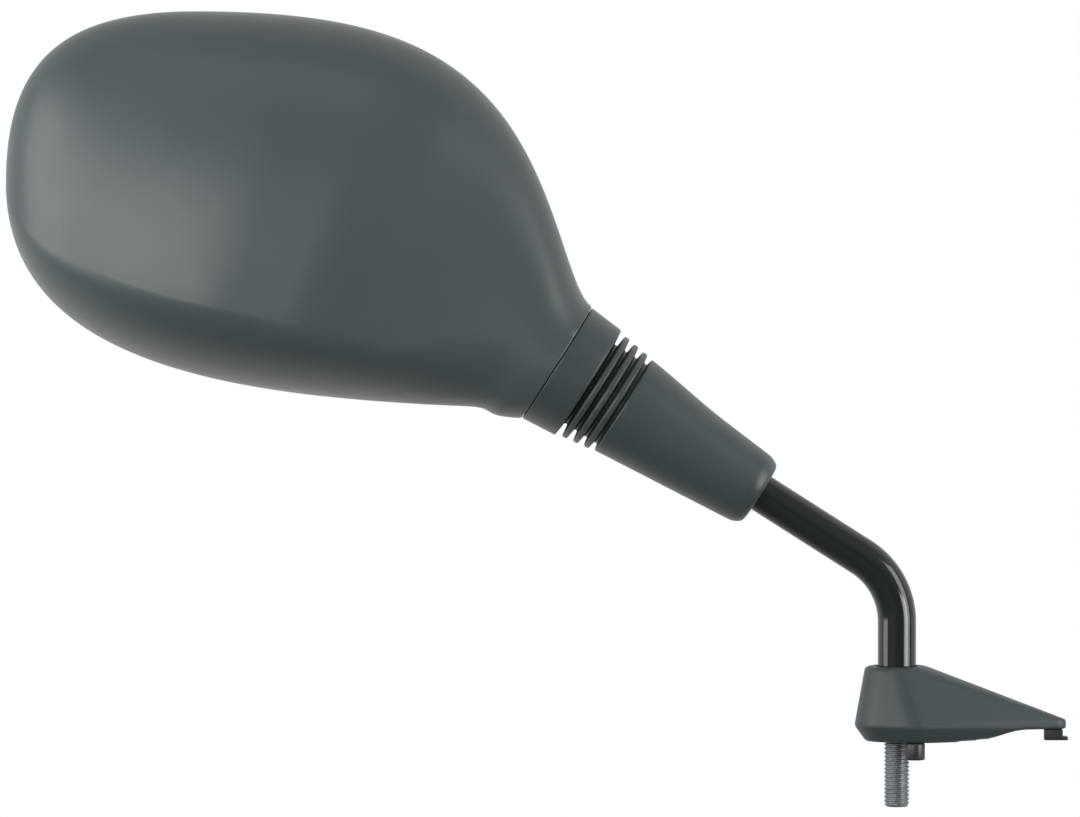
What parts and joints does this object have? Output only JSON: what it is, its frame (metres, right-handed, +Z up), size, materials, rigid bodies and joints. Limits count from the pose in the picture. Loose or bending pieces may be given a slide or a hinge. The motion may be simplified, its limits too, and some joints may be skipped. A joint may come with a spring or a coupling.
{
  "type": "motorcycle mirror",
  "caption": "Right-hand scooter rear-view mirror: moulded head on a ball joint with a bellows boot, bent painted stem, M8 stud and loose base cover.",
  "frame": {"origin": "on the stud's axis, in the plane of the washer's lower face and the cover's bottom rim", "axes": "+Z up, along the upright of the stem; +X from the stud towards the tip of the base cover, away from the head; +Y towards the rider, the way the glass faces"},
  "size_m": [0.3314, 0.0504, 0.2479],
  "materials": {
    "housing_plastic": "fine matt grain",
    "mirror_glass": "silvered",
    "foam_pad": "closed-cell foam",
    "carrier_plastic": "moulded",
    "zinc_screw": "zinc plated",
    "zinc_plate": "zinc plated",
    "spring_steel": "oiled",
    "bearing_plastic": "self-lubricating",
    "bright_steel": "turned",
    "boot_rubber": "satin moulded rubber",
    "black_paint": "gloss black",
    "zinc_stud": "dull zinc plate",
    "cover_plastic": "fine matt grain",
    "bush_rubber": "soft",
    "black_plastic": "smooth"
  },
  "bodies": {
    "stem": {"stem_tube": "black_paint", "threaded_stud": "zinc_stud", "lock_nut": "zinc_screw", "spring_washer": "spring_steel", "plain_washer": "zinc_plate", "ball_stud": "bright_steel"},
    "boot": {"rubber_boot": "boot_rubber", "lower_ball_cup": "bearing_plastic"},
    "ball_seat": {"upper_ball_cup": "bearing_plastic"},
    "head": {"housing_shell": "housing_plastic", "mirror_glass": "mirror_glass", "glass_pad": "foam_pad", "glass_carrier": "carrier_plastic", "carrier_screws": "zinc_screw", "clamp_plate": "zinc_plate", "clamp_screws": "zinc_screw", "disc_springs": "spring_steel", "pressure_cap": "bearing_plastic"},
    "bush": {"cover_bush": "bush_rubber"},
    "cover": {"base_cover": "cover_plastic", "locating_peg": "black_plastic", "tip_hook": "black_plastic"}
  },
  "joints": [
    {"name": "head_swivel", "type": "hinge", "parent": "stem", "child": "boot", "pos_m": [-0.09109, 0, 0.10833], "axis": [-0.8434, 0, 0.5373], "range_deg": [-25, 25]},
    {"name": "head_raise", "type": "hinge", "parent": "boot", "child": "ball_seat", "pos_m": [-0.09109, 0, 0.10833], "axis": [0, 1, 0], "range_deg": [-12, 12], "deforming": ["rubber_boot"]},
    {"name": "head_pan", "type": "hinge", "parent": "ball_seat", "child": "head", "pos_m": [-0.09109, 0, 0.10833], "axis": [0.5373, 0, 0.8434], "range_deg": [-15, 15]},
    {"name": "cover_slide", "type": "slide", "parent": "stem", "child": "bush", "axis": [0, 0, 1], "range_m": [0, 0.012]},
    {"name": "cover_turn", "type": "hinge", "parent": "bush", "child": "cover", "pos_m": [0, 0, 0], "axis": [0, 0, 1], "continuous": true}
  ]
}
